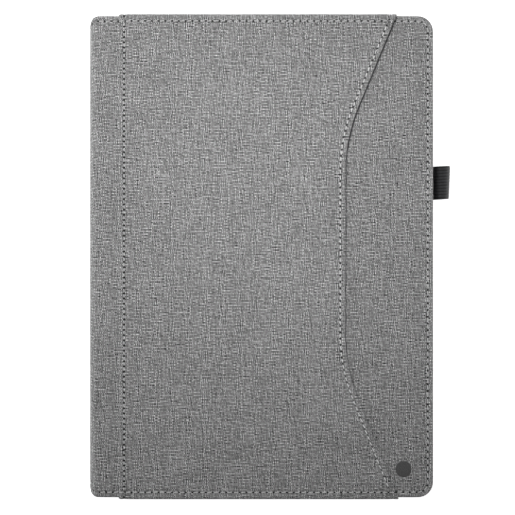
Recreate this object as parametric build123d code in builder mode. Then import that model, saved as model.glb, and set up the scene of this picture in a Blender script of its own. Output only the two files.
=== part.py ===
from build123d import *
import math
import os

# A folio case for a 9 to 11 inch tablet, lying closed on its back cover.
# Millimetres. +X runs from the spine to the free edge, +Y along the spine and
# +Z up through the front cover. The origin is the middle of the underside.

# ---- Driving dimensions ----
case_width = 191.0            # outside of the spine to the free edge
case_height = 267.6           # along the spine
free_corner_r = 8.6           # corners at the free edge, in plan
spine_corner_r = 5.2          # corners at the spine, in plan

fabric_t = 0.8                # outer woven fabric
foam_t = 0.6                  # thin foam under it
board_t = 1.5                 # stiff grey board
lining_t = 0.5                # inner lining
hem_width = 4.4               # fabric turned in round the free edges
lining_inset = 0.6            # lining stops short of the outer edge
tablet_room = 9.5             # between tablet panel and front lining

fold_r = 4.5                  # outside radius of the soft fold at each spine corner
fold_clear = 3.0              # boards stop this far from the fold's axis

pocket_t = 1.25               # whole height of the front pocket
pocket_gap = 0.3              # slack room inside it
pocket_lining_t = 0.35
pocket_lining_inset = 1.0     # behind the open edge
pocket_left_x = -79.2         # turned edge beside the spine
pocket_proud = 1.0            # wraps over the cover's top and bottom edge
pocket_seam_width = 5.0       # strip of the pocket that is sewn down
pocket_top_x = 75.3           # open edge at the top edge of the case
pocket_waist_x = 46.8         # straight middle stretch of the open edge
pocket_bottom_x = 76.2        # open edge at the bottom edge of the case
pocket_waist_top_y = 66.0
pocket_waist_bottom_y = -61.5
pocket_waist_r = 95.0         # gentle bend between the straight stretches

seam_inset = 3.0              # thread line, in from an edge
thread_w = 0.5
thread_t = 0.2

badge_d = 9.0
badge_t = 0.15
badge_at = (79.0, -118.0)

panel_w = 174.0               # board that carries the tablet
panel_h = 248.0
panel_r = 8.0
panel_x = 1.0
panel_board_t = 1.4
panel_skin_t = 0.5

strap_w = 12.0                # elastic across each corner of the panel
strap_t = 0.8
strap_reach = 44.0            # from the panel's corner to where the strap crosses each edge

tape_w = 18.5                 # pen loop tape
tape_t = 1.05
loop_y = 41.1
loop_out = 10.1               # how far the loop stands out of the free edge
loop_r = 4.8                  # outside radius of its round end
loop_rise = 4.35              # round end's centre above the tape's root
loop_root_out = 0.8           # the root stands this far out of the free edge
loop_neck_r = 0.4             # inside the loop, where its two sides come together
loop_neck_out = 1.3
loop_neck_up = 1.5

slot_w = 96.0                 # card slots, three overlapping layers
slot_t = 0.5
slot_x = 8.0
slot_bottom_y = 36.0
slot_heights = {"card_slot_upper": 68.0, "card_slot_middle": 56.0, "card_slot_lower": 44.0}
slip_left_x = -82.0           # large slip pocket below the card slots
slip_right_x = 88.0
slip_top_y = 22.0
slip_bottom_y = -128.5

# ---- Derived levels and lines ----
cover_t = fabric_t + foam_t + board_t + lining_t
half_w = case_width / 2
half_h = case_height / 2
fold_t = fabric_t + lining_t
fold_mid_r = fold_r - fold_t / 2
axis_inset = fold_r - fold_mid_r * math.cos(math.radians(45))

panel_z = cover_t
panel_top_z = panel_z + panel_board_t + panel_skin_t
front_z = panel_top_z + tablet_room
front_top_z = front_z + cover_t
pocket_top_z = front_top_z + pocket_t
pocket_half_h = half_h + pocket_proud

axis_x = -half_w + axis_inset
back_axis_z = axis_inset
front_axis_z = front_top_z - axis_inset
cover_left_x = axis_x + fold_clear
spine_bottom_z = back_axis_z + fold_clear
spine_top_z = front_axis_z - fold_clear
spine_lining_x = -half_w + cover_t - lining_t

os.makedirs("parts", exist_ok=True)


def save(piece, name):
    """Label a finished piece and write it under its own name."""
    piece.part.label = name
    export_step(piece.part, f"parts/{name}.step")


def cover_outline(inset=0.0):
    """Draw a cover's plan: square at the fold, rounded at the two free corners."""
    right, top = half_w - inset, half_h - inset
    with BuildLine() as outline:
        FilletPolyline(
            (cover_left_x, top),
            (right, top),
            (right, -top),
            (cover_left_x, -top),
            radius=free_corner_r - inset,
        )
        Line((cover_left_x, -top), (cover_left_x, top))
    make_face(outline.edges())


def seam_run(width):
    """Draw the thread line that follows a cover's free edges, from the fold and back to it."""
    right, top = half_w - seam_inset, half_h - seam_inset
    with BuildLine() as run:
        FilletPolyline(
            (cover_left_x, top),
            (right, top),
            (right, -top),
            (cover_left_x, -top),
            radius=free_corner_r - seam_inset,
        )
    trace(run.edges(), line_width=width)


def pocket_edge(shift=0.0):
    """Line of the pocket's open edge, moved by shift towards the spine."""
    return FilletPolyline(
        (pocket_top_x - shift, pocket_half_h),
        (pocket_waist_x - shift, pocket_waist_top_y),
        (pocket_waist_x - shift, pocket_waist_bottom_y),
        (pocket_bottom_x - shift, -pocket_half_h),
        radius=pocket_waist_r,
    )


def pocket_outline(shift=0.0, left_x=pocket_left_x):
    """Draw the pocket's plan, from its sewn left edge to its open edge."""
    with BuildLine() as outline:
        pocket_edge(shift)
        Polyline(
            (pocket_bottom_x - shift, -pocket_half_h),
            (left_x, -pocket_half_h),
            (left_x, pocket_half_h),
            (pocket_top_x - shift, pocket_half_h),
        )
    make_face(outline.edges())


def case_footprint():
    """Draw the closed case's plan, with the tight corners at the spine."""
    with BuildLine() as outline:
        FilletPolyline(
            (-half_w, half_h),
            (half_w, half_h),
            (half_w, -half_h),
            (-half_w, -half_h),
            radius=[spine_corner_r, free_corner_r, free_corner_r, spine_corner_r],
            close=True,
        )
    make_face(outline.edges())


# ---- Covers: fabric tray, foam, board and lining ----
def build_cover(prefix, outer_z, inward):
    """Stack one cover from its outer face at outer_z; inward is +1 up or -1 down."""
    def level(depth):
        return Plane.XY.offset(outer_z + inward * depth)

    lining_depth = cover_t - lining_t
    core_right = half_w - hem_width
    core_half_h = half_h - hem_width

    def core_outline():
        with BuildLine() as outline:
            FilletPolyline(
                (cover_left_x, core_half_h),
                (core_right, core_half_h),
                (core_right, -core_half_h),
                (cover_left_x, -core_half_h),
                radius=free_corner_r - hem_width,
            )
            Line((cover_left_x, -core_half_h), (cover_left_x, core_half_h))
        make_face(outline.edges())

    with BuildPart() as fabric:
        with BuildSketch(level(0)):
            cover_outline()
        extrude(amount=inward * lining_depth)
        with BuildSketch(level(fabric_t)):
            core_outline()
        extrude(amount=inward * (lining_depth - fabric_t), mode=Mode.SUBTRACT)
        with BuildSketch(level(0)):
            seam_run(thread_w)
        extrude(amount=inward * thread_t, mode=Mode.SUBTRACT)
        if prefix == "back":
            with BuildSketch(level(fabric_t)):
                with Locations((half_w - hem_width / 2, loop_y)):
                    Rectangle(hem_width, tape_w)
            extrude(amount=inward * (lining_depth - fabric_t), mode=Mode.SUBTRACT)
    save(fabric, f"{prefix}_fabric")

    with BuildPart() as foam:
        with BuildSketch(level(fabric_t)):
            core_outline()
        extrude(amount=inward * foam_t)
    save(foam, f"{prefix}_foam")

    with BuildPart() as board:
        with BuildSketch(level(fabric_t + foam_t)):
            core_outline()
        extrude(amount=inward * board_t)
    save(board, f"{prefix}_board")

    with BuildPart() as lining:
        with BuildSketch(level(lining_depth)):
            cover_outline(lining_inset)
        extrude(amount=inward * lining_t)
        with BuildSketch(level(cover_t - thread_t)):
            seam_run(thread_w)
        extrude(amount=inward * thread_t, mode=Mode.SUBTRACT)
    save(lining, f"{prefix}_lining")


build_cover("back", 0.0, 1)
build_cover("front", front_top_z, -1)

with BuildPart() as back_seam_thread:
    for z in (0.0, cover_t - thread_t):
        with BuildSketch(Plane.XY.offset(z)):
            seam_run(thread_w)
        extrude(amount=thread_t)
save(back_seam_thread, "back_seam_thread")

with BuildPart() as front_seam_thread:
    for z in (front_z, front_top_z - thread_t):
        with BuildSketch(Plane.XY.offset(z)):
            seam_run(thread_w)
        extrude(amount=thread_t)
save(front_seam_thread, "front_seam_thread")

# ---- Document pocket on the front cover ----
seam_y = half_h - seam_inset
pocket_space_h = 2 * (pocket_half_h - pocket_seam_width)
pocket_seam_right_x = pocket_left_x + pocket_seam_width


def pocket_side_run(width):
    """Draw the thread line beside the pocket's turned left edge."""
    with Locations((pocket_left_x + seam_inset, 0)):
        Rectangle(width, 2 * (seam_y - thread_w))


def pocket_edge_run(width):
    """Draw the thread line that follows the open edge, between the top and bottom seams."""
    with BuildLine() as run:
        pocket_edge(seam_inset)
    trace(run.edges(), line_width=width)
    Rectangle(case_width, 2 * (seam_y - thread_w), mode=Mode.INTERSECT)


with BuildPart() as pocket_panel:
    with BuildSketch(Plane.XY.offset(front_z)):
        pocket_outline()
    extrude(amount=pocket_top_z - front_z)
    with BuildSketch(Plane.XY.offset(front_z)):
        Rectangle(2 * case_width, case_height)
    extrude(amount=cover_t, mode=Mode.SUBTRACT)
    with BuildSketch(Plane.XY.offset(front_top_z)):
        with Locations((pocket_seam_right_x, 0)):
            Rectangle(case_width, pocket_space_h, align=(Align.MIN, Align.CENTER))
    extrude(amount=pocket_gap + pocket_lining_t, mode=Mode.SUBTRACT)
    with BuildSketch(Plane.XY.offset(pocket_top_z - thread_t)):
        pocket_side_run(thread_w)
    extrude(amount=thread_t, mode=Mode.SUBTRACT)
    with BuildSketch(Plane.XY.offset(pocket_top_z - thread_t)):
        pocket_edge_run(thread_w)
    extrude(amount=thread_t, mode=Mode.SUBTRACT)
    with BuildSketch(Plane.XY.offset(pocket_top_z - thread_t)):
        with Locations((0, seam_y), (0, -seam_y)):
            Rectangle(case_width, thread_w)
    extrude(amount=thread_t, mode=Mode.SUBTRACT)
save(pocket_panel, "pocket_panel")

with BuildPart() as pocket_lining:
    with BuildSketch(Plane.XY.offset(front_top_z + pocket_gap)):
        pocket_outline(pocket_lining_inset, pocket_seam_right_x)
        Rectangle(case_width, pocket_space_h, mode=Mode.INTERSECT)
    extrude(amount=pocket_lining_t)
save(pocket_lining, "pocket_lining")

with BuildPart() as pocket_side_thread:
    with BuildSketch(Plane.XY.offset(pocket_top_z - thread_t)):
        pocket_side_run(thread_w)
    extrude(amount=thread_t)
save(pocket_side_thread, "pocket_side_thread")

with BuildPart() as pocket_edge_thread:
    with BuildSketch(Plane.XY.offset(pocket_top_z - thread_t)):
        pocket_edge_run(thread_w)
    extrude(amount=thread_t)
save(pocket_edge_thread, "pocket_edge_thread")

with BuildPart() as pocket_end_thread:
    for side in (1, -1):
        with BuildSketch(Plane.XY.offset(pocket_top_z - thread_t)):
            pocket_outline()
            with Locations((0, side * seam_y)):
                Rectangle(case_width, thread_w, mode=Mode.INTERSECT)
        extrude(amount=thread_t)
save(pocket_end_thread, "pocket_end_thread")

with BuildPart() as badge:
    with BuildSketch(Plane.XY.offset(front_top_z)):
        with Locations(badge_at):
            Circle(badge_d / 2)
    extrude(amount=badge_t)
save(badge, "badge")

# ---- Inside of the front cover: slip pocket and card slots ----
with BuildPart() as slip_pocket:
    with BuildSketch(Plane.XY.offset(front_z - slot_t)):
        with BuildLine():
            Polyline(
                (slip_left_x, slip_bottom_y),
                (slip_right_x, slip_bottom_y),
                (slip_right_x, slip_top_y),
                (slip_left_x, slip_top_y),
                close=True,
            )
        make_face()
    extrude(amount=slot_t)
save(slip_pocket, "slip_pocket")

for layer, (slot_name, slot_h) in enumerate(slot_heights.items(), start=1):
    with BuildPart() as card_slot:
        with BuildSketch(Plane.XY.offset(front_z - layer * slot_t)):
            with Locations((slot_x, slot_bottom_y)):
                Rectangle(slot_w, slot_h, align=(Align.CENTER, Align.MIN))
        extrude(amount=slot_t)
    save(card_slot, slot_name)

# ---- Spine: fabric channel, board and lining between the two folds ----
spine_z = (spine_bottom_z + spine_top_z) / 2
spine_h = spine_top_z - spine_bottom_z
board_half_y = half_h - hem_width
spine_board_t = cover_t - fabric_t - lining_t

with BuildPart() as spine_fabric:
    with BuildSketch(Plane.YZ.offset(-half_w)):
        with Locations((0, spine_z)):
            Rectangle(case_height, spine_h)
    extrude(amount=cover_t - lining_t)
    with BuildSketch(Plane.YZ.offset(-half_w + fabric_t)):
        with Locations((0, spine_z)):
            Rectangle(2 * board_half_y, spine_h)
    extrude(amount=spine_board_t, mode=Mode.SUBTRACT)
    with BuildSketch(Plane.XY):
        case_footprint()
    extrude(amount=front_top_z, mode=Mode.INTERSECT)
save(spine_fabric, "spine_fabric")

with BuildPart() as spine_board:
    with BuildSketch(Plane.YZ.offset(-half_w + fabric_t)):
        with Locations((0, spine_z)):
            Rectangle(2 * board_half_y, spine_h)
    extrude(amount=spine_board_t)
save(spine_board, "spine_board")

with BuildPart() as spine_lining:
    with BuildSketch(Plane.YZ.offset(spine_lining_x)):
        with Locations((0, spine_z)):
            Rectangle(2 * (half_h - lining_inset), spine_h)
    extrude(amount=lining_t)
save(spine_lining, "spine_lining")


# ---- Soft folds: fabric and lining alone, curved round each spine corner ----
def build_fold(name, outer_z, inward):
    """Quarter-round fold from a cover's end to the spine's end, with no board in it."""
    centre_x = -half_w + fold_r
    centre_z = outer_z + inward * fold_r
    skin_z = outer_z + inward * fold_t / 2
    wall_x = centre_x - fold_mid_r
    spine_end_z = outer_z + inward * (axis_inset + fold_clear)
    middle = fold_mid_r * math.cos(math.radians(45))

    with BuildPart() as fold:
        with BuildSketch(Plane.XZ):
            with BuildLine():
                Line((cover_left_x, skin_z), (centre_x, skin_z))
                ThreePointArc(
                    (centre_x, skin_z),
                    (centre_x - middle, centre_z - inward * middle),
                    (wall_x, centre_z),
                )
                Line((wall_x, centre_z), (wall_x, spine_end_z))
            trace(line_width=fold_t)
        extrude(amount=half_h, both=True)
        with BuildSketch(Plane.XY):
            case_footprint()
        extrude(amount=front_top_z, mode=Mode.INTERSECT)
    save(fold, name)


build_fold("back_fold", 0.0, 1)
build_fold("front_fold", front_top_z, -1)


# ---- Tablet panel and its corner straps ----
def panel_outline(grow=0.0, mode=Mode.ADD):
    """Draw the tablet panel's plan, grown all round."""
    with Locations((panel_x, 0)):
        RectangleRounded(panel_w + 2 * grow, panel_h + 2 * grow, panel_r + grow, mode=mode)


def panel_seam_run(width):
    """Draw the thread line that runs round the panel just inside its edge."""
    panel_outline(-seam_inset + width / 2)
    panel_outline(-seam_inset - width / 2, mode=Mode.SUBTRACT)


with BuildPart() as tablet_panel_board:
    with BuildSketch(Plane.XY.offset(panel_z)):
        panel_outline(-panel_skin_t)
    extrude(amount=panel_board_t)
save(tablet_panel_board, "tablet_panel_board")

with BuildPart() as tablet_panel_cover:
    with BuildSketch(Plane.XY.offset(panel_z)):
        panel_outline()
    extrude(amount=panel_board_t + panel_skin_t)
    with BuildSketch(Plane.XY.offset(panel_z)):
        panel_outline(-panel_skin_t)
    extrude(amount=panel_board_t, mode=Mode.SUBTRACT)
    with BuildSketch(Plane.XY.offset(panel_top_z - thread_t)):
        panel_seam_run(thread_w)
    extrude(amount=thread_t, mode=Mode.SUBTRACT)
save(tablet_panel_cover, "tablet_panel_cover")

with BuildPart() as tablet_panel_thread:
    with BuildSketch(Plane.XY.offset(panel_top_z - thread_t)):
        panel_seam_run(thread_w)
    extrude(amount=thread_t)
save(tablet_panel_thread, "tablet_panel_thread")

strap_names = {
    "strap_upper_left": (-1, 1),
    "strap_upper_right": (1, 1),
    "strap_lower_left": (-1, -1),
    "strap_lower_right": (1, -1),
}
for strap_name, (side_x, side_y) in strap_names.items():
    middle_x = panel_x + side_x * (panel_w - strap_reach) / 2
    middle_y = side_y * (panel_h - strap_reach) / 2
    with BuildPart() as strap:
        with BuildSketch(Plane.XY.offset(panel_z + lining_inset)):
            panel_outline(strap_t)
        extrude(amount=panel_top_z + strap_t - panel_z - lining_inset)
        with BuildSketch(Plane.XY.offset(panel_z)):
            panel_outline()
        extrude(amount=panel_top_z - panel_z, mode=Mode.SUBTRACT)
        with BuildSketch(Plane.XY.offset(panel_z)):
            with Locations(Location((middle_x, middle_y, 0), (0, 0, -45 * side_x * side_y))):
                Rectangle(2 * strap_reach, strap_w)
        extrude(amount=front_z - panel_z, mode=Mode.INTERSECT)
    save(strap, strap_name)

# ---- Pen loop: tape sewn into the back cover's edge, rising to a round end ----
root_x = half_w + loop_root_out
root_z = fabric_t + tape_t
end_x = half_w + loop_out - loop_r
end_z = root_z + loop_rise

with BuildPart() as pen_loop:
    with BuildSketch(Plane.XZ.offset(-loop_y)):
        with Locations((root_x, root_z)):
            Circle(tape_t)
        with Locations((end_x, end_z)):
            Circle(loop_r)
        make_hull()
    extrude(amount=tape_w / 2, both=True)
    with BuildSketch(Plane.XZ.offset(-loop_y)):
        with Locations((root_x + loop_neck_out, root_z + loop_neck_up)):
            Circle(loop_neck_r)
        with Locations((end_x, end_z)):
            Circle(loop_r - tape_t)
        make_hull()
    extrude(amount=tape_w / 2, both=True, mode=Mode.SUBTRACT)
    with BuildSketch(Plane.XZ.offset(-loop_y)):
        with Locations((root_x, root_z)):
            Rectangle(hem_width + loop_root_out, 2 * tape_t, align=(Align.MAX, Align.CENTER))
    extrude(amount=tape_w / 2, both=True)
save(pen_loop, "pen_loop")
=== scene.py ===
import math
import random

import bpy
import numpy as np
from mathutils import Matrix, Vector, noise


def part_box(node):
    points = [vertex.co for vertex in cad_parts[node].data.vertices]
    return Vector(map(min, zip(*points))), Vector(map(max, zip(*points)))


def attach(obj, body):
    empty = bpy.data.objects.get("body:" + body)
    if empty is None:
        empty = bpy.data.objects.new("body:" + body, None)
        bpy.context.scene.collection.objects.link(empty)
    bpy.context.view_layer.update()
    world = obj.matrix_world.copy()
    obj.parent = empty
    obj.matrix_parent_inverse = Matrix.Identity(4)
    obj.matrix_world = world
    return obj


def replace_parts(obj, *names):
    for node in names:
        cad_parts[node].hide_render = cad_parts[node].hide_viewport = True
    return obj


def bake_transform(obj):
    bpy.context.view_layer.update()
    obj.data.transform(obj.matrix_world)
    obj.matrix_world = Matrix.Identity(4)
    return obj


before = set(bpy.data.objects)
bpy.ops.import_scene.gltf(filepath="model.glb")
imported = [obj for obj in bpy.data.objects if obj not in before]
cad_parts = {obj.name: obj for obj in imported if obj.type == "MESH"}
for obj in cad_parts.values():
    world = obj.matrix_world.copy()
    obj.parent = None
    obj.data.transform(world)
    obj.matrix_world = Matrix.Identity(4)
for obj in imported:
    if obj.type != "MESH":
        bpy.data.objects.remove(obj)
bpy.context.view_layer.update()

# A folio case lying closed. Metres, in the frame of the CAD model: +X to the free edge,
# +Y along the spine, +Z up through the front cover.

MM = 0.001

# ---- Places and sizes read from the frame ----
_, (HALF_W, HALF_H, FRONT_TOP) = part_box("front_fabric")
COVER_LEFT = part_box("front_fabric")[0].x
FRONT_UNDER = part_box("front_lining")[0].z
BACK_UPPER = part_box("back_lining")[1].z
COVER_T = BACK_UPPER
SPINE_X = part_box("spine_fabric")[0].x
SPINE_INNER_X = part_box("spine_lining")[1].x
SPINE_MID_Z = FRONT_TOP / 2
POCKET_LO, POCKET_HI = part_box("pocket_panel")
PANEL_LO, PANEL_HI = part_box("tablet_panel_cover")
LOOP_LO, LOOP_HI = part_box("pen_loop")
BADGE_LO, BADGE_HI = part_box("badge")

# ---- Sizes that the frame doesn't hold ----
CORNER_R = 8.6 * MM              # free corners, in plan
SPINE_CORNER_R = 5.2 * MM        # corners at the spine, in plan
FOLD_R = 4.5 * MM                # soft fold round each spine corner
SEAM_INSET = 3.0 * MM
END_SEAM_INSET = 4.0 * MM        # from the pocket's ends, which stand 1 mm past the cover
PATCH_SEAM_INSET = 2.0 * MM
SEAM_PITCH = 3.75 * MM           # stitch length round the covers
SIDE_PITCH = 2.9 * MM            # beside the pocket's turned edge
EDGE_PITCH = 3.5 * MM            # along the pocket's open edge
INNER_PITCH = 3.2 * MM           # inside work
HOLE_SIZE = 0.85                 # needle holes of the cover seams; 1 is 0.6 mm in radius
RIB_PITCH = 1.57 * MM            # ribs of the elastic tape
SEAM_FAR = 50 * MM               # added to a seam distance, so that no seam reads as far away


# ---- mesh helpers ----
def mesh_piece(name, verts, faces, material, flat=None, seam=None):
    """A mesh object, with its cloth coordinates and seam coordinates as attributes."""
    mesh = bpy.data.meshes.new(name)
    mesh.from_pydata([tuple(v) for v in verts], [], [tuple(f) for f in faces])
    for label, values in (("flat", flat), ("seam", seam)):
        if values is not None:
            layer = mesh.attributes.new(label, "FLOAT_VECTOR", "POINT")
            layer.data.foreach_set("vector", np.asarray(values, np.float32).ravel())
    mesh.polygons.foreach_set("use_smooth", [True] * len(mesh.polygons))
    mesh.materials.append(material)
    mesh.update()
    obj = bpy.data.objects.new(name, mesh)
    bpy.context.scene.collection.objects.link(obj)
    return obj


def grid_faces(rows, cols, flip=False):
    """Quads over a grid of rows x cols vertices."""
    i, j = np.meshgrid(np.arange(rows - 1), np.arange(cols - 1), indexing="ij")
    first = i * cols + j
    quads = np.stack([first, first + cols, first + cols + 1, first + 1], -1).reshape(-1, 4)
    return quads[:, ::-1] if flip else quads


def ring_faces(rings, around, first=0):
    """Quads between each closed ring of vertices and the next."""
    faces = []
    for start in range(first, first + (rings - 1) * around, around):
        for k in range(around):
            a, b = start + k, start + (k + 1) % around
            faces.append((a, b, b + around, a + around))
    return faces


def spaced(start, end, step):
    """Even values from start to end, about step apart, without either end."""
    count = max(2, int(round(abs(end - start) / step)))
    return np.linspace(start, end, count + 1)[1:-1]


def fade(value, start, length):
    """0 up to start, rising evenly to 1 over a length."""
    return min(1.0, max(0.0, (value - start) / length))


def resample(knots, count, passes):
    """Even points along a bent line, its corners rounded: their distances along it and both coordinates."""
    knots = np.array(knots)
    steps = np.concatenate([[0], np.cumsum(np.linalg.norm(np.diff(knots, axis=0), axis=1))])
    along = np.linspace(0, steps[-1], count)
    coordinates = [np.interp(along, steps, knots[:, axis]) for axis in (0, 1)]
    for values in coordinates * passes:
        values[1:-1] = (values[:-2] + 2 * values[1:-1] + values[2:]) / 4
    return along, *coordinates


def ripple(x, y, size, height, seed=0.0):
    """Soft unevenness of stretched cloth, never above zero."""
    value = noise.noise(Vector((x / size + seed, y / size - seed, seed)))
    return -height * (0.5 + 0.5 * value)


# Edge profiles: sheet distance from the edge, how far in from the outline, how far below the face.
COVER_EDGE = np.array([
    (-6.0, 2.20, 2.95), (-4.6, 0.85, 2.95), (-4.0, 0.40, 2.86), (-3.5, 0.12, 2.62),
    (-3.0, 0.02, 2.15), (-2.3, 0.00, 1.55), (-1.6, 0.02, 1.00), (-1.0, 0.10, 0.58),
    (-0.5, 0.26, 0.38), (0.0, 0.50, 0.23), (0.5, 0.80, 0.12), (1.0, 1.20, 0.04),
    (1.5, 1.65, 0.00), (2.1, 2.20, 0.04), (2.6, 2.60, 0.14), (3.0, 3.00, 0.22),
    (3.4, 3.40, 0.14), (3.8, 3.80, 0.06), (4.6, 4.60, 0.01), (6.0, 6.00, 0.00),
]) * MM
LINING_EDGE = np.array([
    (0.2, 0.60, 0.46), (0.5, 0.60, 0.22), (0.8, 0.72, 0.06), (1.2, 1.15, 0.00),
    (2.2, 2.20, 0.02), (2.6, 2.60, 0.08), (3.0, 3.00, 0.15), (3.4, 3.40, 0.08),
    (3.8, 3.80, 0.02), (5.0, 5.00, 0.00),
]) * MM
PANEL_EDGE = np.array([
    (-1.6, 0.12, 1.85), (-1.1, 0.02, 1.45), (-0.6, 0.00, 0.95), (-0.2, 0.10, 0.50),
    (0.2, 0.32, 0.20), (0.7, 0.75, 0.04), (1.3, 1.30, 0.00), (2.2, 2.20, 0.02),
    (2.6, 2.60, 0.09), (3.0, 3.00, 0.17), (3.4, 3.40, 0.09), (3.8, 3.80, 0.02), (5.0, 5.00, 0.00),
]) * MM
PATCH_EDGE = np.array([
    (0.0, 0.00, 1.00), (0.15, 0.05, 0.55), (0.4, 0.25, 0.16), (0.8, 0.75, 0.00),
    (1.3, 1.30, 0.04), (1.6, 1.60, 0.18), (2.0, 2.00, 0.32), (2.4, 2.40, 0.18),
    (2.8, 2.80, 0.04), (4.0, 4.00, 0.00),
]) * (MM, MM, 1)         # a patch's sink is a share of its thickness
PATCH_TOP = np.array([
    (3.5, 3.50, 0.00), (2.0, 2.00, 0.06), (1.0, 1.00, 0.00), (0.45, 0.45, 0.02), (0.15, 0.12, 0.15),
    (0.0, 0.00, 0.45), (-0.3, 0.05, 0.80), (-0.7, 0.50, 0.92), (-4.0, 4.00, 0.95),
]) * (MM, MM, 1)


def profile(table, distance):
    """(inset, sink) at a sheet distance from the edge."""
    rings, insets, sinks = table.T
    inset = distance if distance > rings[-1] else np.interp(distance, rings, insets)
    return float(inset), float(np.interp(distance, rings, sinks))


# ---- seam round a rounded outline ----
class Outline:
    """A rounded rectangle; open on its left side, where a cover runs into the fold, or closed."""

    def __init__(self, left, right, half_h, radius, open_left):
        self.left, self.right, self.half_h, self.radius = left, right, half_h, radius
        self.start = left if open_left else left + radius        # where the seam's top run begins
        self.arc_r = radius - SEAM_INSET
        top, side = right - radius - self.start, 2 * (half_h - radius)
        arc = self.arc_r * math.pi / 2
        # top, right side, bottom and left side, each with the corner after it
        runs = [top, arc, side, arc] * 2
        self.run_starts = [sum(runs[:k]) for k in range(9)]
        self.length = self.run_starts[5 if open_left else 8]

    def seam_point(self, t):
        """Place and direction on the seam line, from the top left, clockwise seen from above."""
        cx, cy = self.right - self.radius, self.half_h - self.radius
        places = (
            lambda s: (self.start + s, cy + self.arc_r, 0.0),
            lambda s: self.corner(cx, cy, math.pi / 2 - s / self.arc_r),
            lambda s: (cx + self.arc_r, cy - s, -math.pi / 2),
            lambda s: self.corner(cx, -cy, -s / self.arc_r),
            lambda s: (cx - s, -cy - self.arc_r, math.pi),
            lambda s: self.corner(self.start, -cy, -math.pi / 2 - s / self.arc_r),
            lambda s: (self.start - self.arc_r, -cy + s, math.pi / 2),
            lambda s: self.corner(self.start, cy, math.pi - s / self.arc_r),
        )
        run = next(k for k in range(8) if t <= self.run_starts[k + 1])
        return places[run](t - self.run_starts[run])

    def corner(self, cx, cy, angle):
        """Place and direction at an angle of a corner's arc."""
        return (cx + self.arc_r * math.cos(angle), cy + self.arc_r * math.sin(angle), angle - math.pi / 2)


def sheet_over(outline, table, columns, rows, base, pitch, pull=None):
    """Points, cloth coordinates and seam coordinates of a sheet stretched over a rounded outline.

    columns are (side, distance from that side, path): side is +1, -1 or 0 for a point of the fold's
    path, which gives (x, z, normal x, normal z, cloth u). rows are (side, distance). base is
    (face height, which way the face looks).
    """
    face_z, up = base
    r, cy = outline.radius, outline.half_h - outline.radius
    hem_band = 6 * MM            # nearer the edge than this, the fold's rows keep their width
    points, flats, seams = [], [], []
    for side_x, dist_x, path in columns:
        for side_y, dist_y in rows:
            edge = min(dist_x, dist_y) if side_x else dist_y
            inset, sink = profile(table, edge)
            flat_y = side_y * (outline.half_h - dist_y)
            if side_x == 0:
                px, pz, nx, nz, flat_x = path
                x, z = px - sink * nx, pz - sink * nz
                y = flat_y * spine_limit(x) / outline.half_h
                if dist_y < hem_band:
                    y = side_y * (spine_limit(x) - inset)
                t = flat_x - outline.left
                if side_y < 0:
                    t = outline.length - t
            else:
                edge_x = outline.right if side_x > 0 else outline.left
                flat_x = edge_x - side_x * dist_x
                if dist_x < r and dist_y < r:
                    p, q = r - dist_x, r - dist_y
                    reach = r - inset
                    angle = math.pi / 4 * q / p if p >= q else math.pi / 2 - math.pi / 4 * p / q
                    x = edge_x - side_x * r + side_x * reach * math.cos(angle)
                    y = side_y * (cy + reach * math.sin(angle))
                    run = {(1, 1): 1, (1, -1): 3, (-1, -1): 5, (-1, 1): 7}[side_x, side_y]
                    past = outline.arc_r * (math.pi / 2 - angle if side_x * side_y > 0 else angle)
                else:
                    x = edge_x - side_x * profile(table, dist_x)[0]
                    y = side_y * (outline.half_h - profile(table, dist_y)[0])
                    if dist_x < dist_y:
                        run, past = (2, cy - y) if side_x > 0 else (6, y + cy)
                    else:
                        run, past = (0, x - outline.start) if side_y > 0 else (4, outline.right - r - x)
                t = outline.run_starts[run] + past
                lift = pull(x, y, edge) if pull else 0.0
                z = face_z + up * (lift - sink)
            points.append((x, y, z))
            flats.append((flat_x, flat_y, 0))
            seams.append((t / pitch, edge - SEAM_INSET + SEAM_FAR, HOLE_SIZE))
    return np.array(points), np.array(flats), np.array(seams)


def spine_limit(x):
    """Half height of the case in plan at x, with its tight corners at the spine."""
    reach = SPINE_X + SPINE_CORNER_R - x
    if reach <= 0:
        return HALF_H
    return HALF_H - SPINE_CORNER_R + math.sqrt(max(0.0, SPINE_CORNER_R**2 - reach**2))


def end_rows(table, half, step):
    """(side, distance from that side's edge) pairs, from one edge over the middle to the other."""
    rings = list(table[:, 0])
    inner = list(spaced(rings[-1], half, step)) + [half]
    return [(-1, d) for d in rings + inner] + [(1, d) for d in (rings + inner[:-1])[::-1]]


# ---- stitches ----
def stitches(name, spots, length, material, radius=0.235 * MM, slant=7.0, seed=1):
    """Separate short stitches, each bowed over the cloth and diving into it at both ends.

    spots are (place, direction, normal).
    """
    rng = random.Random(seed)
    around, along = 8, 9
    verts, faces, flats = [], [], []
    for place, heading, normal in spots:
        place, heading, normal = (np.array(v, float) for v in (place, heading, normal))
        side = np.cross(normal, heading)
        tilt = math.radians(slant + rng.uniform(-2.5, 2.5))
        forward = heading * math.cos(tilt) + side * math.sin(tilt)
        across = np.cross(normal, forward)
        size = length * rng.uniform(0.94, 1.04)
        lift = rng.uniform(0.9, 1.15)
        first = len(verts)
        for i in range(along):
            s = -1 + 2 * i / (along - 1)
            high = (0.20 * (1 - s**4) - 0.34 * s**8) * MM * lift
            centre = place + forward * (s * size / 2) + normal * high
            thick = radius * (1 - 0.35 * s**6) * rng.uniform(0.97, 1.03)
            for k in range(around):
                turn = 2 * math.pi * k / around
                verts.append(centre + thick * (across * math.cos(turn) + normal * math.sin(turn)))
                flats.append((s * size / 2, k / around * MM, 0))
        faces += ring_faces(along, around, first)
        faces.append(range(first, first + around)[::-1])
        faces.append(range(len(verts) - around, len(verts)))
    obj = mesh_piece(name, verts, faces, material, flats)
    return obj


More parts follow.
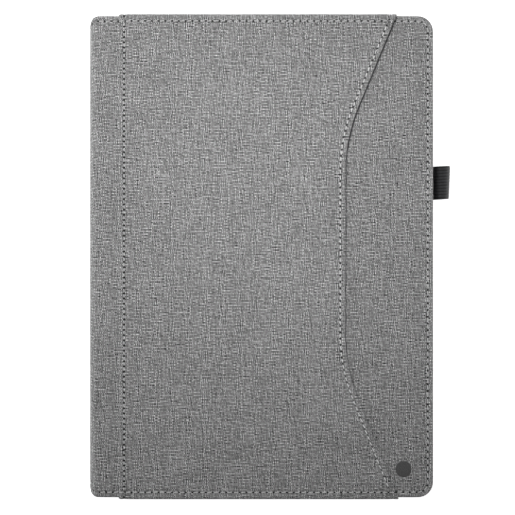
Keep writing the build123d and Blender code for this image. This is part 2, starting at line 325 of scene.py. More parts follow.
def seam_spots(outline, pitch, height, up, keep=lambda x, y: True):
    """Spots midway between needle holes along an outline's seam."""
    spots = []
    for k in range(int(outline.length / pitch)):
        x, y, heading = outline.seam_point((k + 0.5) * pitch)
        if keep(x, y):
            spots.append(((x, y, height), (math.cos(heading), math.sin(heading), 0), (0, 0, up)))
    return spots


# ---- materials ----
class Field:
    """A value that varies over a material; arithmetic on it adds maths nodes."""

    def __init__(self, shader, socket):
        self.shader, self.socket = shader, socket

    def __add__(self, other):
        return self.shader.math("ADD", self, other)

    def __sub__(self, other):
        return self.shader.math("SUBTRACT", self, other)

    def __rsub__(self, other):
        return self.shader.math("SUBTRACT", other, self)

    def __mul__(self, other):
        return self.shader.math("MULTIPLY", self, other)

    def __truediv__(self, other):
        return self.shader.math("DIVIDE", self, other)

    def __abs__(self):
        return self.shader.math("ABSOLUTE", self)


class Shader:
    """A material under construction: adds nodes, links them and returns their outputs as fields."""

    def __init__(self, name, roughness=0.9, specular=0.2, sheen=0.0):
        self.material = bpy.data.materials.new(name)
        self.material.use_nodes = True
        self.tree = self.material.node_tree
        self.bsdf = self.tree.nodes["Principled BSDF"]
        self.bsdf.inputs["Roughness"].default_value = roughness
        self.bsdf.inputs["Specular IOR Level"].default_value = specular
        self.bsdf.inputs["Sheen Weight"].default_value = sheen
        self.bsdf.inputs["Sheen Roughness"].default_value = 0.5

    def put(self, socket, value):
        """Link a field to a socket, or set its value."""
        if isinstance(value, Field):
            self.tree.links.new(value.socket, socket)
        else:
            socket.default_value = value

    def node(self, kind, out=0, inputs=(), **settings):
        """Add a node with these inputs and settings; gives one of its outputs."""
        made = self.tree.nodes.new(kind)
        for key, value in settings.items():
            setattr(made, key, value)
        for key, value in dict(inputs).items():
            self.put(made.inputs[key], value)
        return Field(self, made.outputs[out])

    def math(self, operation, a, b=0.0):
        return self.node("ShaderNodeMath", 0, {0: a, 1: b}, operation=operation)

    def wave(self, place, period):
        """Humps side by side, each a period wide: 0 between them, 1 on top."""
        return abs(self.math("SINE", place * (math.pi / period)))

    def attribute(self, name):
        """X, Y and Z of a mesh attribute."""
        parts = self.tree.nodes.new("ShaderNodeSeparateXYZ")
        self.put(parts.inputs[0], self.node("ShaderNodeAttribute", "Vector", attribute_name=name))
        return [Field(self, part) for part in parts.outputs]

    def at(self, x, y, z=0.0):
        """A vector of three values."""
        return self.node("ShaderNodeCombineXYZ", 0, {0: x, 1: y, 2: z})

    def noise(self, vector, scale=1.0, detail=2.0, roughness=0.5):
        return self.node("ShaderNodeTexNoise", 0,
                         {"Vector": vector, "Scale": scale, "Detail": detail, "Roughness": roughness})

    def range(self, value, a, b, c=0.0, d=1.0, kind="LINEAR"):
        """Map a to c and b to d, and hold the value beyond."""
        return self.node("ShaderNodeMapRange", 0,
                         {"Value": value, "From Min": a, "From Max": b, "To Min": c, "To Max": d},
                         interpolation_type=kind)

    def ramp(self, value, stops):
        """A ramp of greys or colours; stops are (place, colour)."""
        made = self.tree.nodes.new("ShaderNodeValToRGB")
        elements = made.color_ramp.elements
        while len(elements) < len(stops):
            elements.new(0.5)
        for element, (place, colour) in zip(elements, stops):
            element.position = place
            element.color = (*((colour,) * 3 if isinstance(colour, float) else colour), 1)
        self.put(made.inputs[0], value)
        return Field(self, made.outputs[0])

    def shaded(self, colour, tone):
        """A colour times a tone."""
        made = self.tree.nodes.new("ShaderNodeMix")
        made.data_type, made.blend_type = "RGBA", "MULTIPLY"
        for key, value in (("Factor", 1.0), (6, colour), (7, self.at(tone, tone, tone))):
            self.put(made.inputs[key], value)
        return Field(self, made.outputs[2])

    def finish(self, colour, height, distance, strength):
        """Set the colour and a bump of that distance, and give the material."""
        self.put(self.bsdf.inputs["Base Color"], colour)
        normal = self.node("ShaderNodeBump", "Normal",
                           {"Height": height, "Distance": distance, "Strength": strength})
        self.put(self.bsdf.inputs["Normal"], normal)
        return self.material


def tones(colour, *factors):
    """A colour made darker or lighter by each factor."""
    return [tuple(part * factor for part in colour) for factor in factors]


def needle_holes(s):
    """How deep in a needle hole, how near the seam line and whether past it, on the hem: each 0 to 1; the
    first two mark painted shade.
    """
    along, off, size = s.attribute("seam")
    off = off - SEAM_FAR
    hem = s.range(off, -1.2 * MM, -0.5 * MM, 1.0, 0.0, "SMOOTHSTEP")
    off = abs(off)
    step = (s.math("FRACT", along + 0.5) - 0.5) * (3.5 * MM)
    distance = s.math("SQRT", step * step + off * off) / s.math("MAXIMUM", size, 0.1)
    hole = s.range(distance, 0.48 * MM, 0.72 * MM, 1.0, 0.0, "SMOOTHSTEP")
    near = s.range(off, 0.2 * MM, 1.1 * MM, 1.0, 0.0, "SMOOTHSTEP")
    return hole, near, hem


def woven_material(name, dark, mid, light):
    """Heathered plain weave: each yarn has its own shade, drifting along its length, and flecks."""
    warp_pitch, weft_pitch = 0.59 * MM, 0.806 * MM
    slub_length, fibre_width, fibre_length = 5.5 * MM, 0.14 * MM, 1.1 * MM
    s = Shader(name, roughness=0.92, specular=0.15, sheen=0.25)
    x, y, _ = s.attribute("flat")
    warp_no, weft_no = (s.math("FLOOR", n) for n in (x / warp_pitch, y / weft_pitch))
    over = s.math("FLOORED_MODULO", warp_no + weft_no, 2.0)

    def choose(weft_value, warp_value):
        """The value of the yarn that lies on top here."""
        return s.node("ShaderNodeMix", 0, {0: over, 2: weft_value, 3: warp_value}, data_type="FLOAT")

    def shade_along(number, along, seed):
        """A yarn's shade less part of its neighbour's, so that light and dark lie side by side."""
        own, beside = (s.noise(s.at((number + step) * 17.37, along / slub_length, seed), 1.0, 1.0, 0.6)
                       for step in (0.0, 1.0))
        return own - beside * 0.6

    def fleck_at(step):
        """A chance value for each crossing of two yarns, or the next one's."""
        place = s.at(warp_no + step, weft_no + step)
        return s.node("ShaderNodeTexWhiteNoise", 0, {"Vector": place}, noise_dimensions="2D")

    def fibres(across, along, seed):
        """Fine fibres along a yarn, slightly twisted round it."""
        twisted = across + along * 0.25
        return s.noise(s.at(twisted / fibre_width, along / fibre_length, seed), 1.0, 2.0)

    yarns = choose(shade_along(weft_no, x, 9.1), shade_along(warp_no, y, 3.7))
    flecks = fleck_at(0.0) - fleck_at(1.0) * 0.7
    patches = s.noise(s.at(x / (14 * MM), y / (14 * MM), 0.3), 1.0, 2.0)
    shade = (yarns - 0.20) * 0.62 + (flecks - 0.15) * 0.09 + 0.5 + (patches - 0.5) * 0.06
    colour = s.ramp(shade, [(0.29, dark), (0.50, mid), (0.71, light)])

    hump_x, hump_y = s.wave(x, warp_pitch), s.wave(y, weft_pitch)
    across_yarn, along_yarn = choose(hump_y, hump_x), choose(hump_x, hump_y)
    round_yarn = across_yarn * s.range(along_yarn, 0.0, 0.7, 0.35, 1.0)
    strands = choose(fibres(y, x, 1.3), fibres(x, y, 5.9))
    # painted shade: each yarn darker towards its sides and ends, where it dips between its neighbours
    tone = s.range(round_yarn, 0.0, 0.85, 0.21, 1.38) * s.range(strands, 0.25, 0.75, 0.50, 1.50)
    # the warp lies prouder than the weft and catches more light
    tone = tone * s.range(over, 0.0, 1.0, 0.86, 1.14)
    hole, near, hem = needle_holes(s)
    # painted shade: needle holes nearly black, and the cloth a little darker along the seam's groove
    tone = tone * (1.0 - hole * 0.96) * (1.0 - near * 0.08)
    # painted highlight: the free edge's hem, puffed past its seam, is drawn lighter, as if it caught more
    # light
    hem_painted_highlight = hem * s.range(x, 84 * MM, 92 * MM)
    tone = tone * s.range(hem_painted_highlight, 0.0, 1.0, 1.0, 1.16)
    height = s.math("POWER", round_yarn, 0.7) + strands * 0.30 - hole * 2.0
    return s.finish(s.shaded(colour, tone), height, 0.20 * MM, 0.9)


def suede_material(name, base):
    """Brushed microfibre: short nap with soft patches where it lies another way."""
    s = Shader(name, roughness=0.95, specular=0.1, sheen=0.6)
    x, y, _ = s.attribute("flat")
    nap = s.noise(s.at(x / (0.35 * MM), y / (0.35 * MM)), 1.0, 3.0, 0.7)
    stroke = s.noise(s.at(x / (26 * MM), y / (11 * MM), 2.2), 1.0, 3.0, 0.55)
    low, high = tones(base, 0.55, 1.7)
    colour = s.ramp(nap * 0.8 + stroke * 0.3, [(0.30, low), (0.55, base), (0.80, high)])
    hole, near, _ = needle_holes(s)
    # painted shade in the needle holes and along the seam's groove
    tone = 1.0 - (hole * 0.7 + near * 0.1)
    return s.finish(s.shaded(colour, tone), nap - hole * 2.0, 0.12 * MM, 0.6)


def thread_material(name, base):
    """Twisted polyester thread: strands wind round it."""
    s = Shader(name, roughness=0.6, specular=0.35, sheen=0.2)
    x, y, _ = s.attribute("flat")
    strand_length, turn_width = 0.55 * MM, 0.5 * MM
    ply = s.wave(x / strand_length + y / turn_width, 1.0)
    low, high = tones(base, 0.6, 1.25)
    # painted shade and highlight: each strand lighter on its crest, darker where it meets the next
    return s.finish(s.ramp(ply, [(0.0, low), (0.5, base), (1.0, high)]), ply, 0.08 * MM, 0.8)


def elastic_material(name, base):
    """Black woven elastic: ribs run along the tape, with fine cross picks between them."""
    s = Shader(name, roughness=0.75, specular=0.3, sheen=0.3)
    x, y, _ = s.attribute("flat")
    pick, rib = s.wave(x, 0.55 * MM), s.wave(y, RIB_PITCH)
    lint = s.noise(s.at(x / (0.3 * MM), y / (0.3 * MM)), 1.0, 3.0, 0.6)
    shade = (rib * 0.70 + pick * 0.20) * s.range(lint, 0.3, 0.7, 0.75, 1.25)
    low, high = tones(base, 0.10, 3.6)
    # painted shade and highlight: lighter along each rib's crest and the picks, dark between them
    colour = s.ramp(shade, [(0.10, low), (0.55, base), (0.95, high)])
    return s.finish(colour, rib + pick * 0.6, 0.12 * MM, 0.8)


def print_material(name, base):
    """Soft transfer print: a thin rubbery layer that follows the weave under it."""
    s = Shader(name, roughness=0.6, specular=0.3)
    x, y, _ = s.attribute("flat")
    weave = s.wave(x, 0.6 * MM) * s.wave(y, 0.6 * MM)
    speck = s.noise(s.at(x / (0.5 * MM), y / (0.5 * MM)), 1.0, 3.0, 0.7)
    low, high = tones(base, 0.7, 1.7)
    colour = s.ramp(speck, [(0.35, low), (0.5, base), (0.68, high)])
    return s.finish(colour, s.math("SQRT", weave), 0.06 * MM, 0.7)


def board_material(name, base):
    """Grey pressed board: flecks and short fibres."""
    s = Shader(name, roughness=0.85, specular=0.2)
    place = s.node("ShaderNodeTexCoord", "Object")
    fleck, fibre = s.noise(place, 900.0, 4.0, 0.7), s.noise(place, 180.0, 3.0, 0.6)
    low, high = tones(base, 0.6, 1.35)
    colour = s.ramp(fleck * 0.6 + fibre * 0.4, [(0.3, low), (0.5, base), (0.7, high)])
    return s.finish(colour, fleck, 0.05 * MM, 0.5)


def foam_material(name, base):
    """Thin closed-cell foam: small cells."""
    s = Shader(name, roughness=0.95, specular=0.1)
    place = s.node("ShaderNodeTexCoord", "Object")
    cells = s.node("ShaderNodeTexVoronoi", 0, {"Vector": place, "Scale": 1400.0})
    colour = s.ramp(cells, [(0.0, tones(base, 0.6)[0]), (0.5, base)])
    return s.finish(colour, cells, 0.05 * MM, 0.6)


FABRIC = woven_material("heathered_fabric", 0.012, 0.23, 0.57)
LINING = suede_material("microfibre", (0.060, 0.060, 0.064))
THREAD = thread_material("grey_thread", (0.53, 0.53, 0.53))
# a lighter copy of the grey thread: painted highlight on the open edge's raised stitches
LIT_THREAD = thread_material("thread_painted_highlight", (0.68, 0.68, 0.68))
INNER_THREAD = thread_material("dark_thread", (0.13, 0.13, 0.135))
ELASTIC = elastic_material("black_elastic", (0.008, 0.008, 0.009))
PRINT = print_material("transfer_print", (0.062, 0.062, 0.062))
BOARD = board_material("grey_board", (0.34, 0.32, 0.29))
FOAM = foam_material("foam_sheet", (0.62, 0.62, 0.58))

for node, finish in (("board", BOARD), ("foam", FOAM)):
    for label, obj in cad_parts.items():
        if label.endswith(node):
            obj.data.materials.clear()
            obj.data.materials.append(finish)


# ---- covers ----
cover_outline = Outline(COVER_LEFT, HALF_W, HALF_H, CORNER_R, open_left=True)
ARC_X = SPINE_X + FOLD_R            # where a cover's flat face meets the fold's round


def outer_path(front):
    """The outer sheet's line from the cover's flat face, round the fold, to the spine's middle."""
    up = 1 if front else -1
    face = FRONT_TOP if front else 0.0
    centre = (ARC_X, face - up * FOLD_R)
    path = []
    for angle in np.linspace(0, math.pi / 2, 15):
        nx, nz = -math.sin(angle), up * math.cos(angle)
        along = ARC_X - FOLD_R * angle
        path.append((centre[0] + FOLD_R * nx, centre[1] + FOLD_R * nz, nx, nz, along))
    start_u = path[-1][4]
    for z in np.linspace(centre[1], SPINE_MID_Z, 7)[1:]:
        path.append((SPINE_X, z, -1.0, 0.0, start_u - abs(z - centre[1])))
    if front:
        return path
    # the cloth is one piece, so the back half's coordinates run on from the front half's
    middle = path[-1][4]
    return [(x, z, nx, nz, 2 * middle - u) for x, z, nx, nz, u in path]


def cover_crown(x, y, edge):
    """The face's height above its flat: a little foam crown inside the seam, and soft ripple."""
    inside = fade(edge, 4 * MM, 12 * MM)
    soft = inside * inside * (3 - 2 * inside)
    return soft * (0.16 * MM + ripple(x, y, 38 * MM, 0.14 * MM) + ripple(x, y, 13 * MM, 0.05 * MM, 5.0))


def outer_sheet(name, front):
    """Outer fabric of one cover, round the fold to the spine's middle, with its turned-in hem."""
    rings = list(COVER_EDGE[:, 0])
    flat_left = HALF_W - ARC_X
    columns = [(1, d, None) for d in rings + list(spaced(rings[-1], flat_left, 2.5 * MM))]
    columns += [(0, flat_left, p) for p in outer_path(front)]
    rows = end_rows(COVER_EDGE, HALF_H, 2.5 * MM)
    base = (FRONT_TOP, 1) if front else (0.0, -1)
    pull = cover_crown if front else None
    points, flat, seam = sheet_over(cover_outline, COVER_EDGE, columns, rows, base, SEAM_PITCH, pull)
    if not front:
        # the back cover's cloth coordinates follow on from the spine
        middle = outer_path(True)[-1][4]
        count = len(rows) * (len(columns) - len(outer_path(False)))
        flat[:count, 0] = 2 * middle - flat[:count, 0]
    faces = grid_faces(len(columns), len(rows), flip=not front)
    obj = mesh_piece(name, points, faces, FABRIC, flat, seam)
    return obj


def fold_blend(obj, front):
    """Fix a piece's placement into its mesh; front and back alike, nothing is bent."""
    if front:
        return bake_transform(obj)
    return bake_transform(obj)


front_sheet = outer_sheet("front_outer_sheet", True)
fold_blend(front_sheet, True)
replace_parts(front_sheet, "front_fabric", "front_fold")

back_sheet = outer_sheet("back_outer_sheet", False)
fold_blend(back_sheet, False)
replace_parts(back_sheet, "back_fabric", "back_fold", "spine_fabric")


# ---- linings ----
def lining_path(front):
    """The lining's line from the cover, down into the fold's valley, to the spine's middle."""
    up = 1 if front else -1
    outer = FRONT_TOP if front else 0.0
    inner_r = FOLD_R - 1.3 * MM
    # (x, depth from the outer face)
    knots = [
        (COVER_LEFT + 1.6 * MM, COVER_T),
        (COVER_LEFT + 0.5 * MM, COVER_T - 0.04 * MM),
        (COVER_LEFT - 0.5 * MM, COVER_T - 0.45 * MM),
        (ARC_X - inner_r * 0.42, FOLD_R - inner_r * 0.88),
        (ARC_X - inner_r * 0.72, FOLD_R - inner_r * 0.72),
        (ARC_X - inner_r * 0.88, FOLD_R - inner_r * 0.42),
        (SPINE_INNER_X - 0.45 * MM, COVER_T + 1.0 * MM),
        (SPINE_INNER_X - 0.04 * MM, COVER_T + 2.0 * MM),
        (SPINE_INNER_X, COVER_T + 3.1 * MM),
        (SPINE_INNER_X, SPINE_MID_Z),
    ]
    along, x, depth = resample(knots, 26, 3)
    z = outer - up * depth
    dx, dz = np.gradient(x), np.gradient(z)
    size = np.hypot(dx, dz)
    nx, nz = up * dz / size, -up * dx / size
    # the normals look into the case
    flip = np.where(nx - up * nz < 0, -1, 1)
    return list(zip(x, z, nx * flip, nz * flip, x[0] - along))


def lining_sheet(name, front):
    """Inner lining of one cover, on through the fold's valley to the spine's middle."""
    rings = list(LINING_EDGE[:, 0])
    path = lining_path(front)
    flat_left = HALF_W - path[0][0]
    columns = [(1, d, None) for d in rings + list(spaced(rings[-1], flat_left, 4 * MM))]
    columns += [(0, flat_left, p) for p in path]
    rows = end_rows(LINING_EDGE, HALF_H, 4 * MM)
    base = (FRONT_UNDER, -1) if front else (BACK_UPPER, 1)
    points, flat, seam = sheet_over(cover_outline, LINING_EDGE, columns, rows, base, SEAM_PITCH)
    faces = grid_faces(len(columns), len(rows), flip=front)
    obj = mesh_piece(name, points, faces, LINING, flat, seam)
    fold_blend(obj, front)
    return obj


front_inner = lining_sheet("front_inner_sheet", True)
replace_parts(front_inner, "front_lining")
back_inner = lining_sheet("back_inner_sheet", False)
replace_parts(back_inner, "back_lining", "spine_lining")


# ---- cover seams ----
def cover_stitches(name, front):
    """Stitches round a cover's free edges, outside and inside."""
    outer = FRONT_TOP if front else 0.0
    inner = FRONT_UNDER if front else BACK_UPPER
    up = 1 if front else -1

    def shown(x, y):
        """Not hidden under the pocket, which runs out to the cover's ends."""
        under_pocket = POCKET_LO.x - 0.5 * MM < x < POCKET_HI.x - 1.0 * MM
        return not front or abs(y) < HALF_H - 8 * MM or not under_pocket

    spots = seam_spots(cover_outline, SEAM_PITCH, outer - up * 0.20 * MM, up, keep=shown)
    spots += seam_spots(cover_outline, SEAM_PITCH, inner + up * 0.13 * MM, -up)
    obj = stitches(name, spots, 2.6 * MM, THREAD, seed=3 if front else 4)
    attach(obj, "front_cover" if front else "back_cover")
    return obj


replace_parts(cover_stitches("front_seam_stitches", True), "front_seam_thread")
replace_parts(cover_stitches("back_seam_stitches", False), "back_seam_thread")


# ---- document pocket ----
WAIST_X = 46.8 * MM
WAIST_TOP, WAIST_BOTTOM = 66.0 * MM, -61.5 * MM
OPEN_TOP_X, OPEN_BOTTOM_X = 75.3 * MM, 76.2 * MM
WAIST_R = 95.0 * MM
POCKET_HALF_H = POCKET_HI.y


def pocket_open_x(y):
    """X of the pocket's open edge at y: straight, bent gently into a vertical middle stretch."""
    def slope(top_x, top_y, waist_y):
        """How far the edge leans over from the waist to one end."""
        return (top_x - WAIST_X) / (top_y - waist_y)

    if y > 0:
        lean, past = slope(OPEN_TOP_X, POCKET_HALF_H, WAIST_TOP), y - WAIST_TOP
    else:
        lean, past = -slope(OPEN_BOTTOM_X, -POCKET_HALF_H, WAIST_BOTTOM), WAIST_BOTTOM - y
    angle = math.atan(lean)
    tangent = WAIST_R * math.tan(angle / 2)
    if past <= -tangent:
        return WAIST_X
    if past >= tangent * math.cos(angle):
        return WAIST_X + past * lean
    rise = past + tangent
    return WAIST_X + WAIST_R - math.sqrt(WAIST_R**2 - rise**2)


# The turned left edge, the open edge and the ends: distance, inset, sink below the pocket's face.
POCKET_SIDE = np.array([
    (-0.9, 0.10, 1.22), (-0.6, 0.00, 0.98), (-0.2, 0.02, 0.66), (0.2, 0.22, 0.42), (0.7, 0.62, 0.20),
    (1.3, 1.20, 0.06), (1.7, 1.68, 0.02), (2.1, 2.10, 0.04), (2.6, 2.60, 0.13), (3.0, 3.00, 0.22),
    (3.4, 3.40, 0.13), (4.0, 4.00, 0.05), (5.5, 5.50, 0.00),
]) * MM
POCKET_OPEN = np.array([
    (-9.0, 8.00, 0.95), (-3.0, 2.00, 0.92), (-1.6, 0.60, 0.88), (-1.1, 0.16, 0.74), (-0.7, 0.00, 0.48),
    (-0.3, 0.06, 0.22), (0.1, 0.30, 0.06), (0.7, 0.75, 0.00), (1.5, 1.50, 0.00), (2.2, 2.20, 0.05),
    (2.6, 2.60, 0.14), (3.0, 3.00, 0.22), (3.4, 3.40, 0.14), (4.0, 4.00, 0.06), (5.5, 5.50, 0.00),
]) * MM
POCKET_END = np.array([
    (-6.4, 1.60, 4.72), (-5.6, 0.80, 4.66), (-5.0, 0.25, 4.45), (-4.4, 0.05, 4.00), (-3.2, 0.00, 2.80),
    (-2.0, 0.00, 1.60), (-1.3, 0.08, 0.95), (-0.8, 0.28, 0.52), (-0.3, 0.58, 0.22), (0.3, 0.98, 0.06),
    (1.0, 1.45, 0.00), (2.6, 2.80, 0.02), (3.3, 3.40, 0.08), (3.65, 3.70, 0.16), (4.0, 4.00, 0.22),
    (4.35, 4.35, 0.15), (4.8, 4.80, 0.06), (6.0, 6.00, 0.00),
]) * MM


def pocket_lift(y, open_distance):
    """The open edge stands off the cover: most along its upper slant, least along the lower."""
    near = max(0.0, 1 - open_distance / (14 * MM))
    upper = fade(y, 30 * MM, 50 * MM)
    return near * near * upper * 0.45 * MM


def on_slants(y):
    """How far y lies up the open edge's upper slant and down its lower one, each 0 to 1."""
    return fade(y, 50 * MM, 30 * MM), fade(-y, 50 * MM, 30 * MM)


def make_pocket():
    """The pocket's outer cloth: turned left edge, curved open edge, ends wrapped over the cover."""
    rows = end_rows(POCKET_END, POCKET_HALF_H, 2.0 * MM)
    left = list(POCKET_SIDE[:, 0])
    right = list(POCKET_OPEN[::-1, 0])
    across = 56
    columns = len(left) + across + len(right)
    points, flat, seam = [], [], []
    for column in range(columns):
        for side, end in rows:
            end_in, end_sink = profile(POCKET_END, end)
            y = side * (POCKET_HALF_H - end_in)
            open_x = pocket_open_x(max(-POCKET_HALF_H, min(POCKET_HALF_H, side * (POCKET_HALF_H - end))))
            sink = 0.0
            if column < len(left):
                distance = left[column]
                inset, sink = profile(POCKET_SIDE, distance)
                x, u = POCKET_LO.x + inset, POCKET_LO.x + distance
                seam_t, seam_d = y / SIDE_PITCH, distance - SEAM_INSET
            elif column >= len(left) + across:
                distance = right[column - len(left) - across]
                inset, sink = profile(POCKET_OPEN, distance)
                x, u = open_x - inset, open_x - distance
                seam_t, seam_d = pocket_edge_t(y) / EDGE_PITCH, distance - SEAM_INSET
            else:
                share = (column - len(left) + 1) / (across + 1)
                inner_left, inner_right = POCKET_LO.x + left[-1], open_x - right[0]
                x = u = inner_left + share * (inner_right - inner_left)
                seam_t, seam_d = y / SIDE_PITCH, min(x - POCKET_LO.x, open_x - x) - SEAM_INSET
            wrapped = end < 0.5 * MM
            rise = 0.0 if wrapped else pocket_lift(y, open_x - x)
            interior = fade(min(end, x - POCKET_LO.x, open_x - x), 0.0, 15 * MM)
            soft = ripple(x, y, 42 * MM, 0.16 * MM, 2.0) + ripple(x, y, 15 * MM, 0.05 * MM, 7.0)
            rise += interior * soft
            # on the turned ends, what is a sink on the face becomes a step in from the wall
            wall = min(1.0, end_sink / MM)
            points.append((x, y - side * wall * sink, POCKET_HI.z - end_sink - (1 - wall) * sink + rise))
            flat.append((u, side * (POCKET_HALF_H - end), 0))
            end_d = end - END_SEAM_INSET
            if abs(end_d) < abs(seam_d):
                seam.append(((x - COVER_LEFT) / SEAM_PITCH, end_d + SEAM_FAR, HOLE_SIZE))
            else:
                # the needle holes' painted shade is smaller along the lower slant, where the thread fills
                # its holes
                hole_size = 1.08 if x < POCKET_LO.x + 8 * MM else 0.88 - 0.33 * on_slants(y)[1]
                seam.append((seam_t, seam_d + SEAM_FAR, hole_size))
    faces = grid_faces(columns, len(rows), flip=True)
    return mesh_piece("pocket_sheet", points, faces, FABRIC, flat, seam)


EDGE_YS = np.linspace(-POCKET_HALF_H, POCKET_HALF_H, 541)
EDGE_XS = np.array([pocket_open_x(y) for y in EDGE_YS])
EDGE_TS = np.concatenate([[0], np.cumsum(np.hypot(np.diff(EDGE_XS), np.diff(EDGE_YS)))])


def pocket_edge_t(y):
    """Length along the open edge from its bottom end to y."""
    return float(np.interp(y, EDGE_YS, EDGE_TS))


pocket = make_pocket()
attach(pocket, "front_cover")
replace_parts(pocket, "pocket_panel")


def painted_shadow_reach(y):
    """How far the pocket's dark lining reaches past its open edge, as a painted shadow line: most along the
    upper slant, where the edge casts most shadow.
    """
    upper, lower = on_slants(y)
    return (0.38 + 0.27 * upper - 0.18 * lower) * MM


def pocket_inner():
    """The pocket's own lining, seen only as a dark line along the open edge: drawn out past the edge as a
    painted shadow line.
    """
    lo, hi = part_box("pocket_lining")
    ys = np.linspace(lo.y, hi.y, 70)
    points, flat = [], []
    for share in np.linspace(0, 1, 24):
        for y in ys:
            # the lining runs on past the open edge: a painted shadow line under the edge's lip
            x = lo.x + share * (pocket_open_x(y) + painted_shadow_reach(y) - lo.x)
            sag = 0.05 * MM * noise.noise(Vector((x * 60, y * 60, 4)))
            points.append((x, y, lo.z + 0.17 * MM + sag))
            flat.append((x, y, 0))
    obj = mesh_piece("pocket_inner_sheet", points, grid_faces(24, 70, flip=True), LINING, flat,
                     [(0, 0, 1)] * len(points))
    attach(obj, "front_cover")
    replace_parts(obj, "pocket_lining")


pocket_inner()


def pocket_stitches():
    """Three runs: beside the turned left edge, along the open edge, across the two ends."""
    top = POCKET_HI.z
    groove = 0.19 * MM
    limit = HALF_H - SEAM_INSET - 0.9 * MM
    side_x = POCKET_LO.x + SEAM_INSET
    spots = []
    count = int(2 * limit / SIDE_PITCH)
    for k in range(-count // 2, count // 2 + 1):
        y = (k + 0.5) * SIDE_PITCH
        if abs(y) < limit:
            spots.append(((side_x, y, top - groove), (0, 1, 0), (0, 0, 1)))
    side = stitches("pocket_side_stitches", spots, 1.6 * MM, THREAD, radius=0.22 * MM, seed=5)
    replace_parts(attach(side, "front_cover"), "pocket_side_thread")

    spots = []
    for k in range(int(EDGE_TS[-1] / EDGE_PITCH)):
        y = float(np.interp((k + 0.5) * EDGE_PITCH, EDGE_TS, EDGE_YS))
        if abs(y) < limit:
            x = pocket_open_x(y)
            lean = (pocket_open_x(y + 1 * MM) - pocket_open_x(y - 1 * MM)) / (2 * MM)
            heading = Vector((lean, 1, 0)).normalized()
            rise = pocket_lift(y, SEAM_INSET) + 0.04 * MM
            spots.append(((x - SEAM_INSET, y, top - groove + rise), heading, (0, 0, 1)))
    # the lighter thread copy: painted highlight where these raised stitches catch the light
    edge = stitches("pocket_edge_stitches", spots, 2.2 * MM, LIT_THREAD, radius=0.23 * MM, seed=6)
    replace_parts(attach(edge, "front_cover"), "pocket_edge_thread")

    spots = []
    for sign in (1, -1):
        y = sign * (HALF_H - SEAM_INSET)
        for k in range(int(2 * HALF_W / SEAM_PITCH)):
            x = COVER_LEFT + (k + 0.5) * SEAM_PITCH
            if POCKET_LO.x + 0.8 * MM < x < pocket_open_x(y) - 0.8 * MM:
                spots.append(((x, y, top - groove), (sign, 0, 0), (0, 0, 1)))
    ends = stitches("pocket_end_stitches", spots, 2.6 * MM, THREAD, seed=7)
    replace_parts(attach(ends, "front_cover"), "pocket_end_thread")


pocket_stitches()


# ---- plain printed mark ----
def make_badge():
    """A plain thin disc that lies on the cloth."""
    cx, cy = (BADGE_LO.x + BADGE_HI.x) / 2, (BADGE_LO.y + BADGE_HI.y) / 2
    radius = (BADGE_HI.x - BADGE_LO.x) / 2
    rings = [(1.0, -0.10), (0.995, 0.06), (0.97, 0.10), (0.90, 0.11), (0.6, 0.11), (0.3, 0.11)]
    around = 64
    points, flat = [], []
    for share, high in rings:
        for k in range(around):
            a = 2 * math.pi * k / around
            x, y = cx + radius * share * math.cos(a), cy + radius * share * math.sin(a)
            base = FRONT_TOP + cover_crown(x, y, min(HALF_W - x, HALF_H - abs(y)))
            points.append((x, y, base + high * MM))
            flat.append((x, y, 0))
    faces = ring_faces(len(rings), around)
    points.append((cx, cy, points[-1][2]))
    flat.append((cx, cy, 0))
    last = (len(rings) - 1) * around
    faces += [(last + k, last + (k + 1) % around, len(points) - 1) for k in range(around)]
    obj = mesh_piece("badge_print", points, faces, PRINT, flat)
    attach(obj, "front_cover")
    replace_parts(obj, "badge")


make_badge()


# ---- tablet panel ----
panel_outline = Outline(PANEL_LO.x, PANEL_HI.x, PANEL_HI.y, 8.0 * MM, open_left=False)


def make_tablet_panel():
    """Stiff panel that carries the tablet, wrapped in microfibre and sewn round its edge."""
    half_w = (PANEL_HI.x - PANEL_LO.x) / 2
    columns = [(side, distance, None) for side, distance in end_rows(PANEL_EDGE, half_w, 4 * MM)]
    rows = end_rows(PANEL_EDGE, PANEL_HI.y, 4 * MM)

    def crown(x, y, edge):
        """Soft middle of the panel."""
        return fade(edge, 4 * MM, 10 * MM) * (0.10 * MM + ripple(x, y, 40 * MM, 0.10 * MM, 3.0))

    points, flat, seam = sheet_over(
        panel_outline, PANEL_EDGE, columns, rows, (PANEL_HI.z, 1), INNER_PITCH, crown)
    faces = grid_faces(len(columns), len(rows), flip=True)
    obj = mesh_piece("tablet_panel_sheet", points, faces, LINING, flat, seam)
    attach(obj, "back_cover")
    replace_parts(obj, "tablet_panel_cover")
    spots = seam_spots(panel_outline, INNER_PITCH, PANEL_HI.z - 0.15 * MM, 1)
    thread = stitches("tablet_panel_stitches", spots, 2.5 * MM, INNER_THREAD, seed=8)
    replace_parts(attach(thread, "back_cover"), "tablet_panel_thread")


make_tablet_panel()


